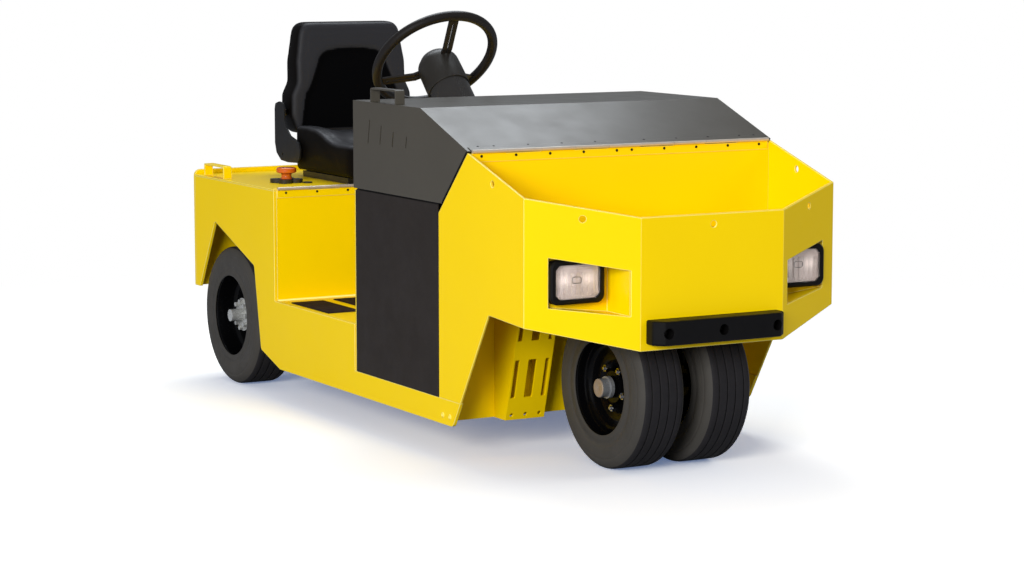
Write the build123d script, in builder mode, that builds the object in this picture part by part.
"""Battery-powered three-wheel baggage tug with a front cargo bin, tilting hood and tilting seat deck.

Millimetres. +X points forward, +Y to the driver's left and +Z up. The origin is on the ground,
halfway along and halfway across the tug. One STEP file is written for each sub-part.
"""
from build123d import *
import math
import os

os.makedirs("parts", exist_ok=True)

# Overall sizes
overall_width = 1016.0
body_length = 2441.0
hitch_reach = 100.0
bumper_depth = 57.0
overall_length = hitch_reach + body_length + bumper_depth
half_width = overall_width / 2

# Sheet and plate thicknesses
plate_t = 10.0
rear_plate_t = 12.0
sheet_t = 5.0
nose_t = 6.0
hood_t = 3.0
panel_t = 4.0

# Clearances
lid_gap = 5.0
seat_gap = 0.3
run_gap = 0.05

# Stations along the tug
rear_x = hitch_reach - overall_length / 2
nose_x = rear_x + body_length
seat_box_length = 662.0
compartment_length = 545.0
nose_length = 646.0
footwell_length = body_length - seat_box_length - compartment_length - nose_length
hood_length = 724.0
nose_corner_back = 151.0
seat_box_x = rear_x + seat_box_length
cowl_x = seat_box_x + footwell_length
bulkhead_x = cowl_x + compartment_length
hinge_x = cowl_x + hood_length
corner_x = nose_x - nose_corner_back
dash_x = cowl_x + hood_t + lid_gap

# Heights
sill_bottom_z = 105.5
sill_height = 73.5
sill_top_z = sill_bottom_z + sill_height
floor_z = 322.0
deck_z = 684.0
rear_rim = 16.0
rear_plate_bottom_z = 303.0
hood_split_z = 737.0
hinge_z = 895.0
hood_top_z = 1000.0
hood_crest_back = 285.0
hood_edge_run = 174.0
hood_edge_rise = 181.0
crest_x = hinge_x - hood_crest_back
nose_corner_top_z = 790.0
nose_corner_bottom_z = 439.0
nose_front_top_z = 737.5
nose_front_bottom_z = 376.0
nose_chamfer_w = 276.0
nose_front_half = half_width - nose_chamfer_w
bin_floor_z = 645.0
shelf_z = 505.0

# Wheels
rear_axle_back = 281.0
front_axle_back = 296.0
rear_axle_x = rear_x + rear_axle_back
front_axle_x = nose_x - front_axle_back
tyre_r = 230.0
rim_opening_r = 135.0
rim_t = 4.0
rim_lip = 8.0
front_wheel_y = 110.0
front_tyre_w = 150.0
rear_tyre_w = 150.0
rear_wheel_inset = 8.0
rear_wheel_y = half_width - rear_wheel_inset - rear_tyre_w / 2
rear_tyre_inner_y = rear_wheel_y - rear_tyre_w / 2


def block(x0, x1, y0, y1, z0, z1, mode=Mode.ADD):
    """Add or cut a box between two corners in the part that is being built."""
    with Locations(((x0 + x1) / 2, (y0 + y1) / 2, (z0 + z1) / 2)):
        Box(x1 - x0, y1 - y0, z1 - z0, mode=mode)


def rod(start, direction, radius, length, mode=Mode.ADD):
    """Add or cut a cylinder that starts at a point and runs along a direction."""
    with Locations(Plane(origin=start, z_dir=direction)):
        Cylinder(radius, length, align=(Align.CENTER, Align.CENTER, Align.MIN), mode=mode)


def finish(builder, name):
    """Label a finished sub-part and write its STEP file."""
    builder.part.label = name
    export_step(builder.part, f"parts/{name}.step")


def is_across(edge):
    """Whether an edge runs straight from side to side of the tug."""
    return abs(edge.bounding_box().size.X) < 0.01 and abs(edge.bounding_box().size.Z) < 0.01


# Side plates: sill, rear wheel arch and rear quarter cut from one plate on each side
arch_rear_foot = (rear_axle_x - 240.0, rear_plate_bottom_z)
arch_top = (rear_axle_x - 104.0, 538.0)
arch_shoulder = (rear_axle_x + 220.0, 421.0)
arch_front = (rear_axle_x + 268.0, 152.0)
arch_front_foot = (rear_axle_x + 416.0, sill_bottom_z)
front_arch_foot_back = 263.0
front_arch_apex_back = 52.0
front_arch_apex_z = 451.0
front_arch_foot_x = front_axle_x - front_arch_foot_back
front_arch_apex_x = front_axle_x - front_arch_apex_back
front_arch_slope = (front_arch_apex_x - front_arch_foot_x) / (front_arch_apex_z - sill_bottom_z)
sill_nose_x = front_arch_foot_x + sill_height * front_arch_slope
deck_t = 5.0
side_top_z = deck_z - deck_t - seat_gap
arch_corner_r = 14.0
sill_nose_r = 22.0
sill_bolt_r = 5.0
sill_bolt_back = 16.0
sill_bolt_pitch = 43.0
sill_bolt_drop = 47.0

with BuildPart() as side_plates:
    with BuildSketch(Plane.XZ.offset(-half_width)) as side_outline:
        with BuildLine():
            Polyline(
                (rear_x + rear_plate_t, rear_plate_bottom_z),
                arch_rear_foot,
                arch_top,
                arch_shoulder,
                arch_front,
                arch_front_foot,
                (front_arch_foot_x, sill_bottom_z),
                (sill_nose_x, sill_top_z),
                (cowl_x, sill_top_z),
                (cowl_x, floor_z),
                (seat_box_x, floor_z),
                (seat_box_x, side_top_z),
                (rear_x + rear_plate_t, side_top_z),
                close=True,
            )
        make_face()
        for corner in (arch_top, arch_shoulder, arch_front):
            fillet(side_outline.vertices().sort_by_distance(corner)[0], arch_corner_r)
        foot_corner = (front_arch_foot_x, sill_bottom_z)
        fillet(side_outline.vertices().sort_by_distance(foot_corner)[0], sill_nose_r)
    extrude(amount=plate_t)
    with BuildSketch(Plane.XZ.offset(-half_width)):
        with Locations(
            (front_arch_foot_x - sill_bolt_back, sill_top_z - sill_bolt_drop),
            (front_arch_foot_x - sill_bolt_back - sill_bolt_pitch, sill_top_z - sill_bolt_drop),
        ):
            Circle(sill_bolt_r)
    extrude(amount=plate_t, mode=Mode.SUBTRACT)
    mirror(about=Plane.XZ)
finish(side_plates, "side_plates")

# Rear plate across the tail, with its top corners rounded above the deck
rear_corner_r = 22.0
with BuildPart() as rear_plate:
    with BuildSketch(Plane.YZ.offset(rear_x)) as rear_outline:
        with Locations((0, (rear_plate_bottom_z + deck_z + rear_rim) / 2)):
            Rectangle(overall_width, deck_z + rear_rim - rear_plate_bottom_z)
        fillet(rear_outline.vertices().group_by(Axis.Y)[-1], rear_corner_r)
    extrude(amount=rear_plate_t)
finish(rear_plate, "rear_plate")

# Seat box front wall under the deck hinge
wall_bottom_z = 180.0
inner_half = half_width - plate_t
with BuildPart() as seat_box_wall:
    block(seat_box_x - sheet_t, seat_box_x, -inner_half, inner_half, wall_bottom_z, side_top_z)
finish(seat_box_wall, "seat_box_wall")

# Footwell floor and its two anti-slip mats
with BuildPart() as floor_pan:
    block(seat_box_x, dash_x, -inner_half, inner_half, floor_z - sheet_t, floor_z)
finish(floor_pan, "floor_pan")

mat_t = 3.0
mat_edge = 28.0
side_mat_w = 112.0
mat_gap = 43.0
side_mat_outer_y = half_width - mat_edge
side_mat_inner_y = side_mat_outer_y - side_mat_w
centre_mat_half = side_mat_inner_y - mat_gap
mats = [
    # low_y, high_y, start_share_of_footwell, length_share_of_footwell
    (-side_mat_outer_y, -side_mat_inner_y, 0.116, 0.468),
    (-centre_mat_half, centre_mat_half, 0.095, 0.757),
    (side_mat_inner_y, side_mat_outer_y, 0.116, 0.468),
]
with BuildPart() as floor_mats:
    for low_y, high_y, start_share, length_share in mats:
        mat_x = seat_box_x + start_share * footwell_length
        block(mat_x, mat_x + length_share * footwell_length, low_y, high_y, floor_z, floor_z + mat_t)
finish(floor_mats, "floor_mats")

# Dash panel: full width below the hood, narrower inside it
dash_drop = 30.0
dash_top_z = hood_top_z - dash_drop
dash_inner_half = half_width - hood_t - lid_gap
column_tilt = 46.0
wheel_back = 439.5
wheel_over_deck = 411.0
wheel_centre = (cowl_x - wheel_back, 0.0, deck_z + wheel_over_deck)
column_dir = Vector(-math.sin(math.radians(column_tilt)), 0, math.cos(math.radians(column_tilt)))
column_foot_r = 45.0
with BuildPart() as dash_panel:
    block(dash_x, dash_x + sheet_t, -half_width, half_width, sill_top_z, hood_split_z - lid_gap)
    block(dash_x, dash_x + sheet_t, -dash_inner_half, dash_inner_half, sill_top_z, dash_top_z)
finish(dash_panel, "dash_panel")

# Underframe: cross members below the floor, rails over the rear axle and the battery tray
member_w = 60.0
member_h = 60.0
member_top_z = floor_z - sheet_t
rail_w = 45.0
rail_gap = 77.5
rail_y = rear_tyre_inner_y - rail_gap - rail_w / 2
rail_h = 60.0
rail_z = 330.0
tray_t = 6.0
with BuildPart() as underframe:
    for member_x in (seat_box_x, cowl_x - member_w):
        block(member_x, member_x + member_w, -inner_half, inner_half, member_top_z - member_h, member_top_z)
    for side in (-1, 1):
        block(
            rear_x + rear_plate_t,
            seat_box_x - sheet_t,
            side * rail_y - rail_w / 2,
            side * rail_y + rail_w / 2,
            rail_z,
            rail_z + rail_h,
        )
    block(dash_x + sheet_t, bulkhead_x - sheet_t, -inner_half, inner_half, sill_top_z - tray_t, sill_top_z)
finish(underframe, "underframe")

# Battery as one plain block on its tray
battery_l = 470.0
battery_w = 820.0
battery_h = 520.0
battery_x = (dash_x + bulkhead_x) / 2
with BuildPart() as battery:
    block(
        battery_x - battery_l / 2,
        battery_x + battery_l / 2,
        -battery_w / 2,
        battery_w / 2,
        sill_top_z,
        sill_top_z + battery_h,
    )
finish(battery, "battery")

# Black covers over both sides of the battery compartment
with BuildPart() as side_covers:
    block(
        dash_x + sheet_t,
        bulkhead_x,
        half_width - panel_t,
        half_width,
        sill_top_z,
        hood_split_z - lid_gap,
    )
    mirror(about=Plane.XZ)
finish(side_covers, "side_covers")

# Inner bulkhead: rear wall of the front wheel well, shelf over it and rear wall of the bin
bin_wall_drop = 12.0
bin_wall_top_z = hinge_z - bin_wall_drop
nose_inner_half = half_width - nose_t
with BuildPart() as inner_bulkhead:
    block(bulkhead_x - sheet_t, bulkhead_x, -inner_half, inner_half, sill_bottom_z, shelf_z - sheet_t)
    block(bulkhead_x - sheet_t, hinge_x, -nose_inner_half, nose_inner_half, shelf_z - sheet_t, shelf_z)
    block(hinge_x - sheet_t, hinge_x, -nose_inner_half, nose_inner_half, shelf_z, bin_wall_top_z)
finish(inner_bulkhead, "inner_bulkhead")

# Nose: one folded sheet with two sides, two chamfers and a front, cut to the side view
lamp_front_back = 106.0
lamp_front_x = nose_x - lamp_front_back
lamp_depth = 30.0
lamp_back_x = lamp_front_x - lamp_depth
pocket_outer_inset = 58.0
pocket_inner_step = 23.0
pocket_outer_y = half_width - pocket_outer_inset
pocket_inner_y = nose_front_half + pocket_inner_step
pocket_outer_top_z = 630.0
pocket_outer_bottom_z = 494.0
pocket_inner_top_z = 595.0
pocket_inner_bottom_z = 471.0
tie_hole_r = 9.5
tie_side_x = front_axle_x - 29.0
tie_side_z = 815.0
tie_chamfer_z = 735.0
tie_front_z = 710.0
nose_start_x = bulkhead_x + lid_gap
nose_seam_z = hinge_z - lid_gap - (hinge_x - nose_start_x) * hood_edge_rise / hood_edge_run


def nose_plan(inset):
    """Draw the plan outline of the nose, moved in by a distance, in the sketch that is being built."""
    turn = math.atan2(half_width - nose_front_half, nose_corner_back)
    corner_shift = inset * math.tan(turn / 2)
    front_shift = inset * math.tan((math.pi / 2 - turn) / 2)
    side = half_width - inset
    with BuildLine() as outline:
        Polyline(
            (nose_start_x, -side),
            (corner_x - corner_shift, -side),
            (nose_x - inset, -nose_front_half + front_shift),
            (nose_x - inset, nose_front_half - front_shift),
            (corner_x - corner_shift, side),
            (nose_start_x, side),
            close=True,
        )
    make_face(outline.edges())


def nose_side_view():
    """Draw the side view of the nose in the sketch that is being built."""
    with BuildLine() as outline:
        Polyline(
            (nose_start_x, sill_top_z),
            (nose_start_x, nose_seam_z),
            (hinge_x, hinge_z - lid_gap),
            (corner_x, nose_corner_top_z),
            (nose_x, nose_front_top_z),
            (nose_x, nose_front_bottom_z),
            (corner_x, nose_corner_bottom_z),
            (front_arch_apex_x, front_arch_apex_z),
            (sill_nose_x, sill_top_z),
            close=True,
        )
    make_face(outline.edges())


def pocket_outline(side, grow, sky):
    """Draw the headlamp pocket of one side from the front, grown outwards, with its top raised by sky."""
    with BuildLine() as outline:
        Polyline(
            (side * (pocket_outer_y + grow), pocket_outer_top_z + grow + sky),
            (side * (pocket_inner_y - grow), pocket_inner_top_z + grow + sky),
            (side * (pocket_inner_y - grow), pocket_inner_bottom_z - grow),
            (side * (pocket_outer_y + grow), pocket_outer_bottom_z - grow),
            close=True,
        )
    make_face(outline.edges())


chamfer_dir = Vector(half_width - nose_front_half, nose_corner_back, 0).normalized()
tie_cut = 24.0
chamfer_hole_x = (corner_x + nose_x) / 2
chamfer_hole_y = (half_width + nose_front_half) / 2
with BuildPart() as nose_shell:
    with BuildSketch(Plane.XY.offset(sill_bottom_z)):
        nose_plan(0)
    extrude(amount=hinge_z)
    with BuildSketch(Plane.XY.offset(sill_bottom_z)):
        nose_plan(nose_t)
    extrude(amount=hinge_z, mode=Mode.SUBTRACT)
    block(
        nose_start_x - 1.0,
        nose_start_x + 2 * nose_t,
        -nose_inner_half,
        nose_inner_half,
        sill_bottom_z,
        sill_bottom_z + hinge_z,
        mode=Mode.SUBTRACT,
    )
    with BuildSketch(Plane.XZ.offset(-half_width)) as nose_cut:
        nose_side_view()
        fillet(
            nose_cut.vertices().sort_by_distance((front_arch_apex_x, front_arch_apex_z))[0],
            arch_corner_r,
        )
    extrude(amount=overall_width, mode=Mode.INTERSECT)
    with BuildSketch(Plane.YZ.offset(lamp_back_x)):
        for side in (-1, 1):
            pocket_outline(side, 0, 0)
    extrude(amount=nose_x - lamp_back_x, mode=Mode.SUBTRACT)
    rod((tie_side_x, -half_width - 1, tie_side_z), (0, 1, 0), tie_hole_r, overall_width + 2, mode=Mode.SUBTRACT)
    rod((nose_x - tie_cut / 2, 0, tie_front_z), (1, 0, 0), tie_hole_r, tie_cut, mode=Mode.SUBTRACT)
    for side in (-1, 1):
        rod(
            (
                chamfer_hole_x - tie_cut / 2 * chamfer_dir.X,
                side * (chamfer_hole_y - tie_cut / 2 * chamfer_dir.Y),
                tie_chamfer_z,
            ),
            (chamfer_dir.X, side * chamfer_dir.Y, 0),
            tie_hole_r,
            tie_cut,
            mode=Mode.SUBTRACT,
        )
finish(nose_shell, "nose_shell")

# Bin floor inside the nose, above the headlamp pockets
with BuildPart() as bin_floor:
    with BuildSketch(Plane.XY.offset(bin_floor_z - nose_t)):
        nose_plan(nose_t)
    extrude(amount=nose_t)
    block(
        nose_start_x - 1.0,
        hinge_x,
        -half_width,
        half_width,
        bin_floor_z - nose_t - 1.0,
        bin_floor_z + 1.0,
        mode=Mode.SUBTRACT,
    )
finish(bin_floor, "bin_floor")

# Headlamp pockets behind the chamfers
pocket_t = 3.0
pocket_sky = 60.0
with BuildPart() as lamp_pockets:
    with BuildSketch(Plane.YZ.offset(lamp_back_x - pocket_t)):
        pocket_outline(1, pocket_t, 0)
    extrude(amount=nose_x - lamp_back_x)
    with BuildSketch(Plane.YZ.offset(lamp_back_x)):
        pocket_outline(1, 0, pocket_sky)
    extrude(amount=nose_x - lamp_back_x, mode=Mode.SUBTRACT)
    with BuildSketch(Plane.XY.offset(sill_top_z)):
        nose_plan(nose_t)
    extrude(amount=hinge_z, mode=Mode.INTERSECT)
    mirror(about=Plane.XZ)
finish(lamp_pockets, "lamp_pockets")

# Headlamps: rubber bezel and clear lens, both facing forward
lamp_w = 170.0
lamp_h = 121.0
lens_w = 140.0
lens_h = 94.0
lamp_inset = 144.0
lamp_y = half_width - lamp_inset
lamp_z = 562.0
lamp_corner_r = 24.0
lens_corner = 13.0
lens_sink = 6.0
lens_t = 8.0
bezel_edge = 5.0
with BuildPart() as lamp_bezels:
    with BuildSketch(Plane.YZ.offset(lamp_back_x)):
        with Locations((lamp_y, lamp_z)):
            RectangleRounded(lamp_w, lamp_h, lamp_corner_r)
    extrude(amount=lamp_depth)
    chamfer(lamp_bezels.faces().sort_by(Axis.X)[-1].edges(), bezel_edge)
    with BuildSketch(Plane.YZ.offset(lamp_front_x - lens_sink - lens_t)) as lens_seat:
        with Locations((lamp_y, lamp_z)):
            Rectangle(lens_w, lens_h)
        chamfer(lens_seat.vertices(), lens_corner)
    extrude(amount=lens_sink + lens_t, mode=Mode.SUBTRACT)
    mirror(about=Plane.XZ)
finish(lamp_bezels, "lamp_bezels")

with BuildPart() as lamp_lenses:
    with BuildSketch(Plane.YZ.offset(lamp_front_x - lens_sink - lens_t)) as lens_face:
        with Locations((lamp_y, lamp_z)):
            Rectangle(lens_w, lens_h)
        chamfer(lens_face.vertices(), lens_corner)
    extrude(amount=lens_t)
    mirror(about=Plane.XZ)
finish(lamp_lenses, "lamp_lenses")

# Rubber bumper across the nose with three counterbored bolt holes
bumper_inset = 18.0
bumper_half = nose_front_half - bumper_inset
bumper_bottom_z = 394.0
bumper_h = 67.0
bumper_taper = 26.0
bumper_corner_r = 12.0
bumper_edge_r = 6.0
bumper_bolt_inset = 38.0
bumper_bolt_pitch = bumper_half - bumper_bolt_inset
bumper_bore_r = 15.0
bumper_bore_depth = 34.0
bumper_z = bumper_bottom_z + bumper_h / 2
with BuildPart() as bumper:
    with BuildSketch(Plane.XY.offset(bumper_bottom_z)) as bumper_plan:
        with BuildLine():
            Polyline(
                (nose_x, -bumper_half),
                (nose_x + bumper_depth - bumper_taper, -bumper_half),
                (nose_x + bumper_depth, -bumper_half + bumper_taper),
                (nose_x + bumper_depth, bumper_half - bumper_taper),
                (nose_x + bumper_depth - bumper_taper, bumper_half),
                (nose_x, bumper_half),
                close=True,
            )
        make_face()
        fillet(
            bumper_plan.vertices().filter_by(lambda v: v.X > nose_x + 1.0),
            bumper_corner_r,
        )
    extrude(amount=bumper_h)
    rim_edges = bumper.faces().filter_by(Axis.Z).edges()
    fillet(rim_edges.filter_by(lambda e: e.center().X > nose_x + 1.0), bumper_edge_r)
    for bolt_y in (-bumper_bolt_pitch, 0.0, bumper_bolt_pitch):
        rod(
            (nose_x + bumper_depth - bumper_bore_depth, bolt_y, bumper_z),
            (1, 0, 0),
            bumper_bore_r,
            bumper_bore_depth + 1,
            mode=Mode.SUBTRACT,
        )
finish(bumper, "bumper")

# Steering mount: a plate from side to side of the nose, with the bore for the fork shaft
mount_front = 140.0
mount_bottom_z = 495.0
mount_t = 24.0
mount_top_z = mount_bottom_z + mount_t
fork_shaft_r = 40.0
with BuildPart() as steering_mount:
    block(hinge_x, front_axle_x + mount_front, -nose_inner_half, nose_inner_half, mount_bottom_z, mount_top_z)
    rod((front_axle_x, 0, mount_bottom_z), (0, 0, 1), fork_shaft_r + run_gap, mount_t, mode=Mode.SUBTRACT)
finish(steering_mount, "steering_mount")

# Perforated posts that stand on the bulkhead and widen up to the shelf
post_y = 262.0
post_w = 128.0
post_foot = 67.0
post_lean = 0.263
post_t = 6.0
post_slot_pitch = 50.0
post_slot_h = 118.0
post_slot_low = 68.0
post_slot_rise = 176.0
post_slots = [
    # sideways_from_middle, width
    (-post_slot_pitch, 15.0),
    (0.0, 27.0),
    (post_slot_pitch, 15.0),
]
post_slot_corner_r = 3.0
post_hole_r = 6.0
post_hole_pitch = 46.0
post_hole_low = 15.0
post_cut_extra = 8.0
post_height = shelf_z - sheet_t - sill_bottom_z
lean_angle = math.degrees(math.atan(post_lean))
post_plane = Plane(
    origin=(bulkhead_x + post_foot, post_y, sill_bottom_z),
    x_dir=(0, 1, 0),
    z_dir=(math.cos(math.atan(post_lean)), 0, -math.sin(math.atan(post_lean))),
)
with BuildPart() as posts:
    with BuildSketch(Plane.XZ.offset(-(post_y + post_w / 2))):
        with BuildLine():
            Polyline(
                (bulkhead_x, sill_bottom_z),
                (bulkhead_x + post_foot, sill_bottom_z),
                (bulkhead_x + post_foot + post_lean * post_height, sill_bottom_z + post_height),
                (bulkhead_x, sill_bottom_z + post_height),
                close=True,
            )
        make_face()
    extrude(amount=post_w)
    with BuildSketch(Plane.XZ.offset(-(post_y + post_w / 2 - post_t))):
        with BuildLine():
            Polyline(
                (bulkhead_x - 1, sill_bottom_z - 1),
                (bulkhead_x + post_foot - post_t, sill_bottom_z - 1),
                (bulkhead_x + post_foot - post_t + post_lean * (post_height + 2), sill_bottom_z + post_height + 1),
                (bulkhead_x - 1, sill_bottom_z + post_height + 1),
                close=True,
            )
        make_face()
    extrude(amount=post_w - 2 * post_t, mode=Mode.SUBTRACT)
    with BuildSketch(post_plane):
        for sideways, slot_w in post_slots:
            with Locations(
                (sideways, post_slot_low + post_slot_h / 2),
                (sideways, post_slot_low + post_slot_rise + post_slot_h / 2),
            ):
                RectangleRounded(slot_w, post_slot_h, post_slot_corner_r)
        with Locations((-post_hole_pitch, post_hole_low), (0, post_hole_low), (post_hole_pitch, post_hole_low)):
            Circle(post_hole_r)
    extrude(amount=-post_t - post_cut_extra, mode=Mode.SUBTRACT)
    mirror(about=Plane.XZ)
finish(posts, "steering_posts")

# Steering column fixed to the dash, with the bore for the wheel's shaft
column_r = 66.0
cover_length = 118.0
column_gap = 3.0
column_start = cover_length + column_gap
column_straight = 190.0
column_taper = 120.0
column_length = 700.0
wheel_shaft_r = 14.0
shaft_bore = 60.0
column_plane = Plane(origin=wheel_centre, x_dir=(0, 1, 0), z_dir=column_dir)
with BuildPart() as steering_column:
    with BuildSketch(Plane(origin=wheel_centre, x_dir=(0, 1, 0), z_dir=column_plane.y_dir * -1)):
        with BuildLine():
            Polyline(
                (0, -column_start),
                (column_r, -column_start),
                (column_r, -column_start - column_straight),
                (column_foot_r, -column_start - column_straight - column_taper),
                (column_foot_r, -column_length),
                (0, -column_length),
                close=True,
            )
        make_face()
    revolve(axis=Axis(wheel_centre, column_dir))
    rod(
        tuple(Vector(wheel_centre) - column_dir * (column_start + shaft_bore)),
        tuple(column_dir),
        wheel_shaft_r + run_gap,
        shaft_bore + 1,
        mode=Mode.SUBTRACT,
    )
    split(bisect_by=Plane.YZ.offset(dash_x), keep=Keep.BOTTOM)
finish(steering_column, "steering_column")

# Pedals hung from the dash panel
pedal_y = 150.0
accelerator_w = 70.0
brake_w = 91.0
pedal_h = 110.0
pedal_reach = 115.0
pedal_lean = 55.0
pedal_low = 48.0
pedal_t = 12.0
arm_w = 14.0
arm_h = 16.0
arm_low = 130.0
arm_reach = 70.0
with BuildPart() as pedals:
    for side, width in ((-1, accelerator_w), (1, brake_w)):
        with BuildSketch(Plane.XZ.offset(-(side * pedal_y + width / 2))):
            with BuildLine():
                Polyline(
                    (dash_x - pedal_reach, floor_z + pedal_low + pedal_t / 2),
                    (dash_x - pedal_reach + pedal_t, floor_z + pedal_low),
                    (dash_x - pedal_reach + pedal_t + pedal_lean, floor_z + pedal_low + pedal_h),
                    (dash_x - pedal_reach + pedal_lean, floor_z + pedal_low + pedal_t / 2 + pedal_h),
                    close=True,
                )
            make_face()
        extrude(amount=width)
        block(
            dash_x - arm_reach,
            dash_x,
            side * pedal_y - arm_w / 2,
            side * pedal_y + arm_w / 2,
            floor_z + arm_low,
            floor_z + arm_low + arm_h,
        )
finish(pedals, "pedals")

# Instrument pod on the dash, right of the column
pod_y = -260.0
pod_w = 180.0
pod_h = 90.0
pod_drop = 120.0
pod_z = dash_top_z - pod_drop
pod_depth = 22.0
pod_corner_r = 10.0
pod_controls = [
    # sideways_from_middle, radius, stand_out
    (-40.0, 28.0, 6.0),
    (50.0, 12.0, 10.0),
]
with BuildPart() as instrument_pod:
    block(dash_x - pod_depth, dash_x, pod_y - pod_w / 2, pod_y + pod_w / 2, pod_z - pod_h / 2, pod_z + pod_h / 2)
    fillet(instrument_pod.edges().filter_by(Axis.X), pod_corner_r)
    for sideways, radius, stand_out in pod_controls:
        rod((dash_x - pod_depth, pod_y + sideways, pod_z), (-1, 0, 0), radius, stand_out)
finish(instrument_pod, "instrument_pod")

# Rear axle with its differential housing, brackets and drive motor
axle_tube_r = 38.0
axle_end_gap = 2.0
axle_half = rear_tyre_inner_y - axle_end_gap
diff_r = 112.0
diff_w = 150.0
backing_r = 112.0
backing_t = 6.0
saddle_half = 45.0
stub_r = 24.0
stub_l = 95.0
with BuildPart() as rear_axle:
    rod((rear_axle_x, -axle_half, tyre_r), (0, 1, 0), axle_tube_r, 2 * axle_half)
    rod((rear_axle_x, -diff_w / 2, tyre_r), (0, 1, 0), diff_r, diff_w)
    for side in (-1, 1):
        rod((rear_axle_x, side * (axle_half - backing_t), tyre_r), (0, side, 0), backing_r, backing_t)
        rod((rear_axle_x, side * axle_half, tyre_r), (0, side, 0), stub_r, stub_l)
        block(
            rear_axle_x - saddle_half,
            rear_axle_x + saddle_half,
            side * rail_y - rail_w / 2,
            side * rail_y + rail_w / 2,
            tyre_r,
            rail_z,
        )
finish(rear_axle, "rear_axle")

motor_r = 92.0
motor_length = 250.0
motor_sink = 8.0
motor_neck_half = 50.0
motor_neck_l = 32.0
motor_x = rear_axle_x + diff_r - motor_sink
with BuildPart() as drive_motor:
    rod((motor_x, 0, tyre_r), (1, 0, 0), motor_r, motor_length)
    block(
        motor_x - motor_neck_l,
        motor_x,
        -motor_neck_half,
        motor_neck_half,
        tyre_r - motor_neck_half,
        tyre_r + motor_neck_half,
    )
    rod((rear_axle_x, -diff_w / 2 - 1, tyre_r), (0, 1, 0), diff_r, diff_w + 2, mode=Mode.SUBTRACT)
finish(drive_motor, "drive_motor")

# Rear hitch: ladder of four drilled shelves between two cheeks, and its drop pin
hitch_z = 255.0
hitch_w = 120.0
shelf_count = 4
jaw_h = 62.0
shelf_t = 12.0
cheek_t = 10.0
hitch_back_t = 14.0
pin_r = 12.5
pin_hole_back = 66.0
hitch_back_rise = 40.0
cheek_l = 30.0
hitch_corner_r = 30.0
hitch_top_z = hitch_z + (shelf_count - 1) * (jaw_h + shelf_t) + shelf_t
with BuildPart() as hitch:
    block(rear_x - hitch_back_t, rear_x, -hitch_w / 2, hitch_w / 2, hitch_z, hitch_top_z + hitch_back_rise)
    for shelf in range(shelf_count):
        low = hitch_z + shelf * (jaw_h + shelf_t)
        block(rear_x - hitch_reach, rear_x - hitch_back_t, -hitch_w / 2, hitch_w / 2, low, low + shelf_t)
    for side in (-1, 1):
        block(
            rear_x - hitch_back_t - cheek_l,
            rear_x - hitch_back_t,
            side * (hitch_w - cheek_t) / 2 - cheek_t / 2,
            side * (hitch_w - cheek_t) / 2 + cheek_t / 2,
            hitch_z,
            hitch_top_z,
        )
    fillet(
        hitch.edges().filter_by(Axis.Z).filter_by(lambda e: e.center().X < rear_x - hitch_reach + 1.0),
        hitch_corner_r,
    )
    rod(
        (rear_x - pin_hole_back, 0, hitch_z - 1.0),
        (0, 0, 1),
        pin_r + run_gap,
        hitch_top_z - hitch_z + 2.0,
        mode=Mode.SUBTRACT,
    )
finish(hitch, "hitch")

pin_head_r = 20.0
pin_head_t = 8.0
pin_tip = 14.0
pin_neck_r = 8.0
pin_neck_h = 22.0
ring_centre_r = 24.0
ring_wire_r = 6.0
pin_head_z = hitch_top_z + seat_gap
pin_ring_z = pin_head_z + pin_head_t + pin_neck_h + ring_centre_r
with BuildPart() as hitch_pin:
    rod((rear_x - pin_hole_back, 0, hitch_z - pin_tip), (0, 0, 1), pin_r, pin_head_z - hitch_z + pin_tip)
    rod((rear_x - pin_hole_back, 0, pin_head_z), (0, 0, 1), pin_head_r, pin_head_t)
    rod((rear_x - pin_hole_back, 0, pin_head_z + pin_head_t), (0, 0, 1), pin_neck_r, pin_neck_h)
    with Locations(Plane(origin=(rear_x - pin_hole_back, 0, pin_ring_z), z_dir=(1, 0, 0))):
        Torus(ring_centre_r, ring_wire_r)
finish(hitch_pin, "hitch_pin")

# Tail lamps on the rear plate
tail_lamp_r = 42.0
tail_lamp_t = 26.0
tail_lamp_inset = 108.0
tail_lamp_drop = 84.0
with BuildPart() as tail_lamps:
    for side in (-1, 1):
        rod(
            (rear_x, side * (half_width - tail_lamp_inset), deck_z - tail_lamp_drop),
            (-1, 0, 0),
            tail_lamp_r,
            tail_lamp_t,
        )
finish(tail_lamps, "tail_lamps")

# Hood: top, slope and sides folded from one sheet, with four slanted louvres on each side
hood_foot_x = hinge_x - (hinge_z - hood_split_z) * hood_edge_run / hood_edge_rise
hood_side_h = hood_top_z - hood_split_z
louvres = [
    # distance_from_rear_edge, middle_share_of_side_height, length_share_of_side_height
    (105.5, 0.6635, 0.2814),
    (183.5, 0.6445, 0.2205),
    (263.0, 0.6122, 0.1787),
    (349.0, 0.6027, 0.1331),
]
louvre_w = 6.0
louvre_tilt = 10.0
hood_lip = 22.0
rear_open = 10.0
front_open = 40.0


def hood_side_view(inset, open_rear, open_front):
    """Draw the hood's side view, moved in by a distance, longer behind and in front where it is open."""
    rear = cowl_x - open_rear
    slope_angle = math.atan2(hood_top_z - hinge_z, hood_crest_back)
    crest = crest_x - inset * math.tan(slope_angle / 2)
    drop = inset / math.cos(slope_angle)
    front = hinge_x + open_front
    front_z = hinge_z - drop - open_front * math.tan(slope_angle)
    with BuildLine() as outline:
        Polyline(
            (rear, hood_split_z - open_front),
            (rear, hood_top_z - inset),
            (crest, hood_top_z - inset),
            (front, front_z),
            (hood_foot_x + open_front * 2, hood_split_z - open_front),
            close=True,
        )
    make_face(outline.edges())


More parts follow.
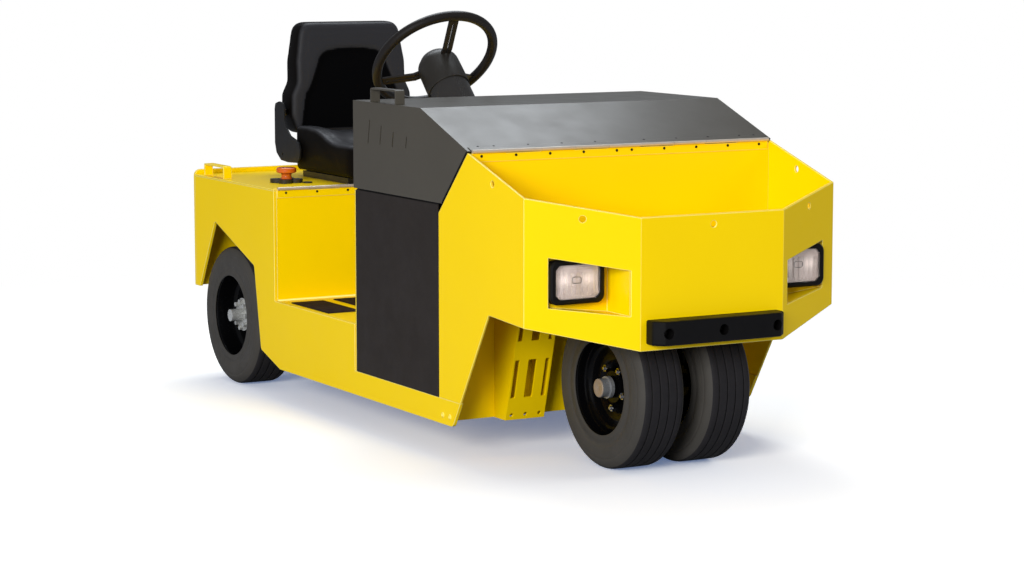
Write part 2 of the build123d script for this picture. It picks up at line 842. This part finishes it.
with BuildPart() as hood:
    with BuildSketch(Plane.XZ.offset(-half_width)):
        hood_side_view(0, 0, 0)
    extrude(amount=overall_width)
    with BuildSketch(Plane.XZ.offset(-half_width + hood_t)):
        hood_side_view(hood_t, rear_open, front_open)
    extrude(amount=overall_width - 2 * hood_t, mode=Mode.SUBTRACT)
    block(
        cowl_x,
        cowl_x + hood_t,
        -half_width + hood_t,
        half_width - hood_t,
        hood_top_z - hood_lip,
        hood_top_z - hood_t,
    )
    with BuildSketch(Plane.XZ.offset(-half_width)):
        for from_rear, middle_share, length_share in louvres:
            middle_z = hood_split_z + middle_share * hood_side_h
            with Locations(Location((cowl_x + from_rear, middle_z, 0), (0, 0, 90.0 - louvre_tilt))):
                SlotOverall(length_share * hood_side_h, louvre_w)
    extrude(amount=overall_width, mode=Mode.SUBTRACT)
finish(hood, "hood")

# Strap handles on the hood and the deck, bent from flat bar
handle_l = 166.0
handle_h = 42.0
handle_w = 30.0
handle_t = 5.0
handle_r = 8.0
hood_handle_start = 101.0
deck_handle_start = 73.0
hood_handle_x = cowl_x + hood_handle_start
deck_handle_x = rear_x + deck_handle_start
handle_edge = 8.0


def strap_handle(start_x, base_z):
    """Add a U-shaped strap handle that stands on a sheet near the right edge."""
    outer_y = -half_width + handle_edge
    with BuildSketch(Plane.XZ.offset(-(outer_y + handle_w))) as strap:
        with Locations((start_x + handle_l / 2, base_z + handle_h / 2)):
            Rectangle(handle_l, handle_h)
        fillet(strap.vertices().group_by(Axis.Y)[-1], handle_r)
        with Locations((start_x + handle_l / 2, base_z + (handle_h - handle_t) / 2)):
            Rectangle(handle_l - 2 * handle_t, handle_h - handle_t, mode=Mode.SUBTRACT)
    extrude(strap.sketch, amount=handle_w)


with BuildPart() as hood_handle:
    strap_handle(hood_handle_x, hood_top_z)
finish(hood_handle, "hood_handle")

# Seat deck with its handle
deck_gap = 2.0
deck_rear_x = rear_x + rear_plate_t + deck_gap
with BuildPart() as seat_deck:
    block(deck_rear_x, seat_box_x, -half_width, half_width, deck_z - deck_t, deck_z)
finish(seat_deck, "seat_deck")

with BuildPart() as deck_handle:
    strap_handle(deck_handle_x, deck_z)
finish(deck_handle, "deck_handle")

# Emergency disconnect: lobed black base, red mushroom knob, and a small cap beside it
knob_forward = 457.0
knob_inset = 139.0
knob_x = rear_x + knob_forward
knob_y = knob_inset - half_width
knob_base_t = 13.0
knob_base_span = 108.0
knob_base_turn = 60.0
knob_base_bar = 44.0
knob_stem_r = 18.0
knob_stem_h = 17.0
knob_cap_r = 33.0
knob_cap_h = 21.0
knob_edge_r = 6.0
side_cap_x = knob_x + 46.0
side_cap_y = knob_y + 55.0
side_cap_r = 16.0
side_cap_h = 4.0
with BuildPart() as knob_base:
    with BuildSketch(Plane.XY.offset(deck_z)):
        for turn in (knob_base_turn, knob_base_turn + 90.0):
            with Locations(Location((knob_x, knob_y, 0), (0, 0, turn))):
                SlotOverall(knob_base_span, knob_base_bar)
    extrude(amount=knob_base_t)
    rod((side_cap_x, side_cap_y, deck_z), (0, 0, 1), side_cap_r, side_cap_h)
finish(knob_base, "knob_base")

with BuildPart() as knob:
    rod((knob_x, knob_y, deck_z + knob_base_t), (0, 0, 1), knob_stem_r, knob_stem_h)
    rod((knob_x, knob_y, deck_z + knob_base_t + knob_stem_h), (0, 0, 1), knob_cap_r, knob_cap_h)
    fillet(knob.edges().filter_by(GeomType.CIRCLE).sort_by(Axis.Z)[-1], knob_edge_r)
finish(knob, "knob")

# Seat: runners, cushion, back and the two side brackets that join them
seat_w = 480.0
cushion_rear_x = rear_x + 222.0
cushion_l = 478.0
runner_h = 20.0
runner_w = 50.0
runner_y = 195.0
cushion_bottom_z = deck_z + runner_h + seat_gap
cushion_corner_r = 40.0
cushion_edge_r = 18.0
cushion_saddle = [
    # distance_from_back, height
    (0.0, 154.0),
    (163.0, 153.0),
    (258.0, 122.0),
    (343.0, 112.0),
    (cushion_l, 112.0),
]
with BuildPart() as seat_cushion:
    with BuildSketch(Plane.XZ.offset(-seat_w / 2)) as cushion_side:
        with BuildLine():
            saddle = [(cushion_rear_x + along, cushion_bottom_z + height) for along, height in cushion_saddle]
            Polyline(
                (cushion_rear_x, cushion_bottom_z),
                *saddle,
                (cushion_rear_x + cushion_l, cushion_bottom_z),
                close=True,
            )
        make_face()
    extrude(amount=seat_w)
    fillet(seat_cushion.edges().filter_by(Axis.Z), cushion_corner_r)
    lip_z = cushion_bottom_z + cushion_saddle[-1][1]
    upper_edges = seat_cushion.edges().filter_by(lambda e: e.center().Z > lip_z - 1.0)
    fillet(upper_edges.filter_by(lambda e: not is_across(e)), cushion_edge_r)
finish(seat_cushion, "seat_cushion")

back_rear_x = rear_x + 98.0
back_t = 108.0
back_front_r = 22.0
back_top_r = 45.0
back_foot_r = 35.0
back_outline = [
    # half_width, height
    (204.0, 815.0),
    (228.0, 885.0),
    (228.0, 954.0),
    (209.0, 996.0),
    (209.0, 1066.0),
    (187.0, 1197.0),
]
with BuildPart() as seat_back:
    with BuildSketch(Plane.YZ.offset(back_rear_x)) as back_face:
        with BuildLine():
            right_side = [(-half, height) for half, height in back_outline]
            left_side = [(half, height) for half, height in reversed(back_outline)]
            Polyline(*right_side, *left_side, close=True)
        make_face()
        fillet(back_face.vertices().group_by(Axis.Y)[-1], back_top_r)
        fillet(back_face.vertices().group_by(Axis.Y)[0], back_foot_r)
    extrude(amount=back_t)
    fillet(seat_back.faces().sort_by(Axis.X)[-1].edges(), back_front_r)
finish(seat_back, "seat_back")

bracket_t = 6.0
bracket_gap = 8.0
bracket_y = seat_w / 2 + bracket_gap
bracket_corner_r = 8.0
bracket_hole_r = 5.0
bracket_outline = [
    # distance_from_rear_plate, height
    (112.0, 905.0),
    (118.0, 924.0),
    (148.0, 932.0),
    (178.0, 928.0),
    (190.0, 908.0),
    (190.0, 874.0),
    (207.0, 844.0),
    (236.0, 820.0),
    (276.0, 810.0),
    (305.0, 798.0),
    (316.0, 776.0),
    (310.0, 748.0),
    (292.0, 732.0),
    (218.0, 729.0),
    (160.0, 733.0),
    (124.0, 757.0),
    (112.0, 790.0),
]
bracket_pins = [
    # distance_from_rear_plate, height, half_width_of_what_it_holds
    (150.0, 895.0, back_outline[1][0]),
    (270.0, 770.0, seat_w / 2),
]
bracket_pin_r = 11.0
bracket_hole_x = rear_x + 174.0
bracket_hole_z = 754.0
runner_setback = 43.0
runner_l = 350.0
with BuildPart() as seat_frame:
    with BuildSketch(Plane.XZ.offset(-(bracket_y + bracket_t))) as bracket_face:
        with BuildLine():
            Polyline(*[(rear_x + along, height) for along, height in bracket_outline], close=True)
        make_face()
        fillet(bracket_face.vertices(), bracket_corner_r)
        with Locations((bracket_hole_x, bracket_hole_z)):
            Circle(bracket_hole_r, mode=Mode.SUBTRACT)
    extrude(amount=bracket_t)
    for along, height, held_half in bracket_pins:
        rod(
            (rear_x + along, bracket_y, height),
            (0, -1, 0),
            bracket_pin_r,
            bracket_y - held_half - seat_gap,
        )
    block(
        cushion_rear_x + runner_setback,
        cushion_rear_x + runner_setback + runner_l,
        runner_y - runner_w / 2,
        runner_y + runner_w / 2,
        deck_z,
        deck_z + runner_h,
    )
    mirror(about=Plane.XZ)
finish(seat_frame, "seat_frame")

# Steering wheel: padded rim, three slotted spokes that drop to the hub, and the shaft
rim_centre_r = 198.0
rim_tube_r = 16.0
spoke_w = 32.0
spoke_t = 8.0
spoke_slot_w = 5.0
spoke_slot_l = 105.0
spoke_drop = 36.0
hub_r = 30.0
hub_h = 34.0
spoke_bend_r = 85.0
cover_r = 62.0
cover_t = 4.0
cover_top = 6.0
cover_dome_r = 24.0
cover_floor_t = 4.0
hub_overlap = 4.0
shaft_end_gap = 10.0
spoke_slot_end = 10.0
window_gap = 1.0
spoke_angles = (-90.0, 30.0, 150.0)
lateral = Vector(0, 1, 0)
down_rear = column_dir.cross(lateral)


def spoke_frame(angle):
    """Radial and tangential directions of a spoke, from its angle in the wheel's plane."""
    turn = math.radians(angle)
    radial = lateral * math.cos(turn) + down_rear * math.sin(turn)
    return radial, column_dir.cross(radial)


with BuildPart() as steering_wheel:
    with Locations(column_plane):
        Torus(rim_centre_r, rim_tube_r)
    for angle in spoke_angles:
        radial, tangent = spoke_frame(angle)
        with BuildSketch(Plane(origin=wheel_centre, x_dir=radial, z_dir=tangent * -1)):
            with BuildLine():
                Polyline(
                    (hub_r - hub_overlap, -spoke_drop - spoke_t / 2),
                    (spoke_bend_r, -spoke_drop - spoke_t / 2),
                    (rim_centre_r, -spoke_t / 2),
                    (rim_centre_r, spoke_t / 2),
                    (spoke_bend_r, -spoke_drop + spoke_t / 2),
                    (hub_r - hub_overlap, -spoke_drop + spoke_t / 2),
                    close=True,
                )
            make_face()
        extrude(amount=spoke_w / 2, both=True)
        slot_middle_r = rim_centre_r - rim_tube_r - spoke_slot_end - spoke_slot_l / 2
        slot_start = Vector(wheel_centre) + radial * slot_middle_r
        with BuildSketch(Plane(origin=slot_start, x_dir=radial, z_dir=column_dir)):
            SlotOverall(spoke_slot_l, spoke_slot_w)
        extrude(amount=spoke_drop + 2 * spoke_t, both=True, mode=Mode.SUBTRACT)
    rod(tuple(Vector(wheel_centre) - column_dir * (cover_dome_r + hub_h)), tuple(column_dir), hub_r, hub_h)
    rod(
        tuple(Vector(wheel_centre) - column_dir * (column_start + shaft_bore - shaft_end_gap)),
        tuple(column_dir),
        wheel_shaft_r,
        column_start + shaft_bore - shaft_end_gap - spoke_drop,
    )
finish(steering_wheel, "steering_wheel")

with BuildPart() as wheel_cover:
    with BuildSketch(Plane(origin=wheel_centre, x_dir=(0, 1, 0), z_dir=column_plane.y_dir * -1)) as cover_profile:
        with BuildLine():
            Polyline(
                (0, cover_top),
                (cover_r, cover_top),
                (cover_r, -cover_length),
                (0, -cover_length),
                close=True,
            )
        make_face()
        fillet(
            cover_profile.vertices().sort_by_distance((cover_r, cover_top))[0],
            cover_dome_r,
        )
    revolve(axis=Axis(wheel_centre, column_dir))
    rod(
        tuple(Vector(wheel_centre) - column_dir * (cover_length + 1.0)),
        tuple(column_dir),
        cover_r - cover_t,
        cover_length - cover_dome_r + 1.0,
        mode=Mode.SUBTRACT,
    )
    for angle in spoke_angles:
        radial, tangent = spoke_frame(angle)
        middle = Vector(wheel_centre) + radial * cover_r - column_dir * spoke_drop
        with BuildSketch(Plane(origin=middle, x_dir=tangent, z_dir=radial)):
            Rectangle(spoke_w + 2 * window_gap, spoke_t + 2 * window_gap)
        extrude(amount=3 * cover_t, both=True, mode=Mode.SUBTRACT)
    rod(
        tuple(Vector(wheel_centre) - column_dir * (cover_length - cover_floor_t)),
        tuple(column_dir),
        cover_r - cover_t + 1.0,
        cover_floor_t,
    )
    rod(
        tuple(Vector(wheel_centre) - column_dir * (cover_length + 1.0)),
        tuple(column_dir),
        wheel_shaft_r + run_gap,
        2 * cover_floor_t + 2.0,
        mode=Mode.SUBTRACT,
    )
finish(wheel_cover, "wheel_cover")

# Steering fork: one strut between the twin wheels under a round turntable
strut_t = 46.0
strut_l = 110.0
turntable_r = 118.0
turntable_t = 14.0
ring_r = 95.0
shaft_nut_r = 56.0
shaft_nut_h = 20.0
turntable_bottom_z = tyre_r * 2 + lid_gap + 1.0
front_axle_r = 20.0
axle_past_wheel = 45.0
front_axle_half = front_wheel_y + axle_past_wheel
with BuildPart() as steer_fork:
    block(
        front_axle_x - strut_l / 2,
        front_axle_x + strut_l / 2,
        -strut_t / 2,
        strut_t / 2,
        tyre_r,
        turntable_bottom_z,
    )
    rod((front_axle_x, -strut_t / 2, tyre_r), (0, 1, 0), strut_l / 2, strut_t)
    rod((front_axle_x, 0, turntable_bottom_z), (0, 0, 1), turntable_r, turntable_t)
    rod(
        (front_axle_x, 0, turntable_bottom_z),
        (0, 0, 1),
        ring_r,
        mount_bottom_z - seat_gap - turntable_bottom_z,
    )
    rod((front_axle_x, 0, turntable_bottom_z), (0, 0, 1), fork_shaft_r, mount_top_z - turntable_bottom_z + 1.0)
    rod((front_axle_x, 0, mount_top_z + seat_gap), (0, 0, 1), shaft_nut_r, shaft_nut_h)
    rod((front_axle_x, -front_axle_half, tyre_r), (0, 1, 0), front_axle_r, 2 * front_axle_half)
finish(steer_fork, "steer_fork")

# Tyres and rims: one section for each, turned round the wheel's axis
bead_inset = 11.0
tread_inset = 19.0
shoulder_low = (7.0, 16.0)
shoulder_high = (12.0, 5.0)


def tyre_profile(centre_y, width):
    """Draw half a tyre section, from the bead to the crown, below the axle in the YZ plane of a wheel."""
    bead_half = width / 2 - bead_inset
    bead_r = rim_opening_r + rim_t
    lip_r = bead_r + rim_lip
    tread_half = width / 2 - tread_inset
    low_half = width / 2 - shoulder_low[0]
    high_half = width / 2 - shoulder_high[0]
    bulge_r = (lip_r + tyre_r) / 2
    with BuildLine() as outline:
        Polyline(
            (centre_y - bead_half, tyre_r - lip_r),
            (centre_y - bead_half, tyre_r - bead_r),
            (centre_y + bead_half, tyre_r - bead_r),
            (centre_y + bead_half, tyre_r - lip_r),
        )
        ThreePointArc(
            (centre_y + bead_half, tyre_r - lip_r),
            (centre_y + width / 2, tyre_r - bulge_r),
            (centre_y + low_half, shoulder_low[1]),
        )
        ThreePointArc(
            (centre_y + low_half, shoulder_low[1]),
            (centre_y + high_half, shoulder_high[1]),
            (centre_y + tread_half, 0.0),
        )
        Line((centre_y + tread_half, 0.0), (centre_y - tread_half, 0.0))
        ThreePointArc(
            (centre_y - tread_half, 0.0),
            (centre_y - high_half, shoulder_high[1]),
            (centre_y - low_half, shoulder_low[1]),
        )
        ThreePointArc(
            (centre_y - low_half, shoulder_low[1]),
            (centre_y - width / 2, tyre_r - bulge_r),
            (centre_y - bead_half, tyre_r - lip_r),
        )
    make_face(outline.edges())


def rim_profile(centre_y, width, disc_y, disc_hole_r, outward):
    """Draw a wheel rim section below the axle: two lips, the barrel and the disc."""
    half = width / 2 - bead_inset
    bead_r = rim_opening_r + rim_t
    lip_r = bead_r + rim_lip
    for end in (-1, 1):
        with Locations((centre_y + end * (half + rim_t / 2), tyre_r - (rim_opening_r + lip_r) / 2)):
            Rectangle(rim_t, lip_r - rim_opening_r)
    with Locations((centre_y, tyre_r - (rim_opening_r + bead_r) / 2)):
        Rectangle(2 * half, rim_t)
    with Locations((disc_y - outward * disc_t / 2, tyre_r - (disc_hole_r + bead_r) / 2)):
        Rectangle(disc_t, bead_r - disc_hole_r)


# Twin front wheels: tyres, rims, hubs with their caps, and nuts turn as one body
disc_t = 7.0
front_disc_y = 131.0
hub_flange_r = 45.0
nut_r = 11.0
nut_h = 14.0
nut_circle_r = 60.0
nut_count = 5
first_nut_turn = -90.0

with BuildPart() as front_tyres:
    for side in (-1, 1):
        with BuildSketch(Plane.YZ.offset(front_axle_x)):
            tyre_profile(side * front_wheel_y, front_tyre_w)
        revolve(axis=Axis((front_axle_x, 0, tyre_r), (0, 1, 0)))
finish(front_tyres, "front_tyres")

with BuildPart() as front_rims:
    for side in (-1, 1):
        with BuildSketch(Plane.YZ.offset(front_axle_x)):
            rim_profile(side * front_wheel_y, front_tyre_w, side * front_disc_y, hub_flange_r, side)
        revolve(axis=Axis((front_axle_x, 0, tyre_r), (0, 1, 0)))
finish(front_rims, "front_rims")

collar_r = 31.5
collar_y = 161.0
cap_r = 26.5
cap_y = 184.0
hub_inner_y = 90.0
flange_stand_out = 8.0
with BuildPart() as front_hubs:
    for side in (-1, 1):
        hub_start = (front_axle_x, side * hub_inner_y, tyre_r)
        rod(hub_start, (0, side, 0), hub_flange_r, front_disc_y - hub_inner_y + flange_stand_out)
        rod(hub_start, (0, side, 0), collar_r, collar_y - hub_inner_y)
        rod(hub_start, (0, side, 0), cap_r, cap_y - hub_inner_y)
        rod(
            (front_axle_x, side * (hub_inner_y - 1.0), tyre_r),
            (0, side, 0),
            front_axle_r + run_gap,
            front_axle_half - hub_inner_y + 2.0,
            mode=Mode.SUBTRACT,
        )
finish(front_hubs, "front_hubs")

with BuildPart() as front_nuts:
    for side in (-1, 1):
        for number in range(nut_count):
            turn = math.radians(first_nut_turn + number * 360.0 / nut_count)
            spot = (
                front_axle_x + nut_circle_r * math.cos(turn),
                side * front_disc_y,
                tyre_r + nut_circle_r * math.sin(turn),
            )
            with BuildSketch(Plane(origin=spot, x_dir=(1, 0, 0), z_dir=(0, side, 0))):
                RegularPolygon(nut_r, 6)
            extrude(amount=nut_h)
finish(front_nuts, "front_nuts")

# Rear wheels, one on each side, with brake drum, hub and nuts turning with the rim
rear_disc_back = 72.0
drum_r = 108.0
drum_w = 50.0
rear_hub_r = 55.0
rear_hub_out = 34.0
rear_hub_cap_r = 20.0
rear_nut_circle_r = 44.0
rear_nut_count = 8
rear_nut_r = 8.0
rear_cap_reach = 8.0
rear_rim_plane = rear_wheel_y + rear_tyre_w / 2 - shoulder_low[0]
for name, side in (("right", -1), ("left", 1)):
    wheel_axis = Axis((rear_axle_x, 0, tyre_r), (0, 1, 0))
    disc_y = rear_rim_plane - rear_disc_back
    with BuildPart() as rear_tyre:
        with BuildSketch(Plane.YZ.offset(rear_axle_x)):
            tyre_profile(side * rear_wheel_y, rear_tyre_w)
        revolve(axis=wheel_axis)
    finish(rear_tyre, f"rear_tyre_{name}")

    with BuildPart() as rear_rim:
        with BuildSketch(Plane.YZ.offset(rear_axle_x)):
            rim_profile(side * rear_wheel_y, rear_tyre_w, side * disc_y, rear_hub_r, side)
        revolve(axis=wheel_axis)
    finish(rear_rim, f"rear_rim_{name}")

    with BuildPart() as rear_hub:
        drum_start = axle_half + lid_gap
        drum_spot = (rear_axle_x, side * drum_start, tyre_r)
        rod(drum_spot, (0, side, 0), drum_r, drum_w)
        rod(drum_spot, (0, side, 0), rear_hub_r, disc_y + rear_hub_out - drum_start)
        rod(drum_spot, (0, side, 0), rear_hub_cap_r, rear_rim_plane + rear_cap_reach - drum_start)
        for number in range(rear_nut_count):
            turn = math.radians(number * 360.0 / rear_nut_count)
            spot = (
                rear_axle_x + rear_nut_circle_r * math.cos(turn),
                side * (disc_y + rear_hub_out),
                tyre_r + rear_nut_circle_r * math.sin(turn),
            )
            with BuildSketch(Plane(origin=spot, x_dir=(1, 0, 0), z_dir=(0, side, 0))):
                RegularPolygon(rear_nut_r, 6)
            extrude(amount=nut_h)
        rod(
            (rear_axle_x, side * (drum_start - 1.0), tyre_r),
            (0, side, 0),
            stub_r + run_gap,
            stub_l - lid_gap + 1.0 + run_gap,
            mode=Mode.SUBTRACT,
        )
    finish(rear_hub, f"rear_hub_{name}")

# Piano hinges: knuckles taken in turn by the fixed leaf and the moving leaf round one pin
knuckle_r = 5.0
hinge_pin_r = 2.5
knuckle_count = 9
knuckle_gap = 1.0
leaf_t = 2.0
leaf_w = 30.0
hinge_stand_off = knuckle_r + 1.0
hinge_end_gap = 12.0
tab_reach = 1.5
hinge_w = overall_width - 2 * hinge_end_gap
hood_slope_angle = math.atan2(hood_top_z - hinge_z, hood_crest_back)
hood_axis = (hinge_x + hinge_stand_off, hinge_z - hinge_stand_off * math.tan(hood_slope_angle) + leaf_t / 2)
deck_axis = (seat_box_x + hinge_stand_off, deck_z + leaf_t / 2)


def hinge_half(axis, first, with_pin, direction, leaf_side):
    """Add one half of a piano hinge: every second knuckle, its tabs and the leaf along a direction."""
    axis_x, axis_z = axis
    pitch = hinge_w / knuckle_count
    tab_start = 0.0 if with_pin else hinge_pin_r + 1.0
    leaf_start = knuckle_r + tab_reach
    for number in range(first, knuckle_count, 2):
        low = -hinge_w / 2 + number * pitch + knuckle_gap / 2
        rod((axis_x, low, axis_z), (0, 1, 0), knuckle_r, pitch - knuckle_gap)
        if not with_pin:
            rod(
                (axis_x, low - 1, axis_z),
                (0, 1, 0),
                hinge_pin_r + run_gap,
                pitch - knuckle_gap + 2,
                mode=Mode.SUBTRACT,
            )
        tab_plane = Plane(origin=(axis_x, low, axis_z), x_dir=direction, z_dir=(0, -1, 0))
        with BuildSketch(tab_plane) as tab:
            with Locations(((tab_start + leaf_start) / 2, leaf_side + leaf_t / 2)):
                Rectangle(leaf_start - tab_start, leaf_t)
        extrude(tab.sketch, amount=-(pitch - knuckle_gap))
    if with_pin:
        rod((axis_x, -hinge_w / 2, axis_z), (0, 1, 0), hinge_pin_r, hinge_w)
    leaf_plane = Plane(origin=(axis_x, hinge_w / 2, axis_z), x_dir=direction, z_dir=(0, -1, 0))
    with BuildSketch(leaf_plane) as leaf:
        with Locations(((leaf_start + leaf_w) / 2, leaf_side + leaf_t / 2)):
            Rectangle(leaf_w - leaf_start, leaf_t)
    extrude(leaf.sketch, amount=hinge_w)


slope_back = (-math.cos(hood_slope_angle), 0, math.sin(hood_slope_angle))
with BuildPart() as fixed_hinges:
    hinge_half(hood_axis, 0, True, (0, 0, -1), -hinge_stand_off)
    hinge_half(deck_axis, 0, True, (0, 0, -1), -hinge_stand_off)
finish(fixed_hinges, "fixed_hinges")

with BuildPart() as hood_hinge:
    hinge_half(hood_axis, 1, False, slope_back, -leaf_t + leaf_t / 2 * math.cos(hood_slope_angle))
finish(hood_hinge, "hood_hinge")

with BuildPart() as deck_hinge:
    hinge_half(deck_axis, 1, False, (-1, 0, 0), -leaf_t / 2)
finish(deck_hinge, "deck_hinge")
